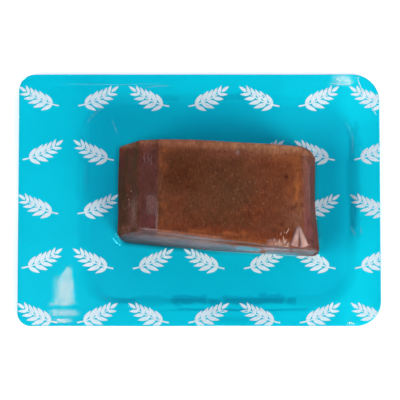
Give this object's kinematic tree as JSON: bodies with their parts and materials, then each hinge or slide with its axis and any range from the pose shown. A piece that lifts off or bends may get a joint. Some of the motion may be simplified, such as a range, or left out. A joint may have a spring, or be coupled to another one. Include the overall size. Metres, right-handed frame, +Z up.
{
  "type": "mojama in skin pack",
  "caption": "Trimmed block of dark red-brown dried tuna loin under clear film, sealed to a turquoise printed backing sheet with a shallow ribbed pocket.",
  "frame": {"origin": "on the pocket floor's underside, which the pack rests on, under the middle of the pack", "axes": "+X along the pack's length towards the pocket's side, +Y to its back edge, +Z up out of the backing"},
  "size_m": [0.2, 0.142, 0.0289],
  "materials": {
    "backing_print": "turquoise printed film, satin",
    "print_white": "white printed motifs, satin",
    "cured_fish": "dense dried flesh, dark red-brown, faintly moist and mottled",
    "clear_film": "clear, glossy, lightly wrinkled"
  },
  "bodies": {
    "root": {"printed_backing": "backing_print", "mojama_block": "cured_fish", "clear_film": "clear_film"}
  },
  "joints": []
}
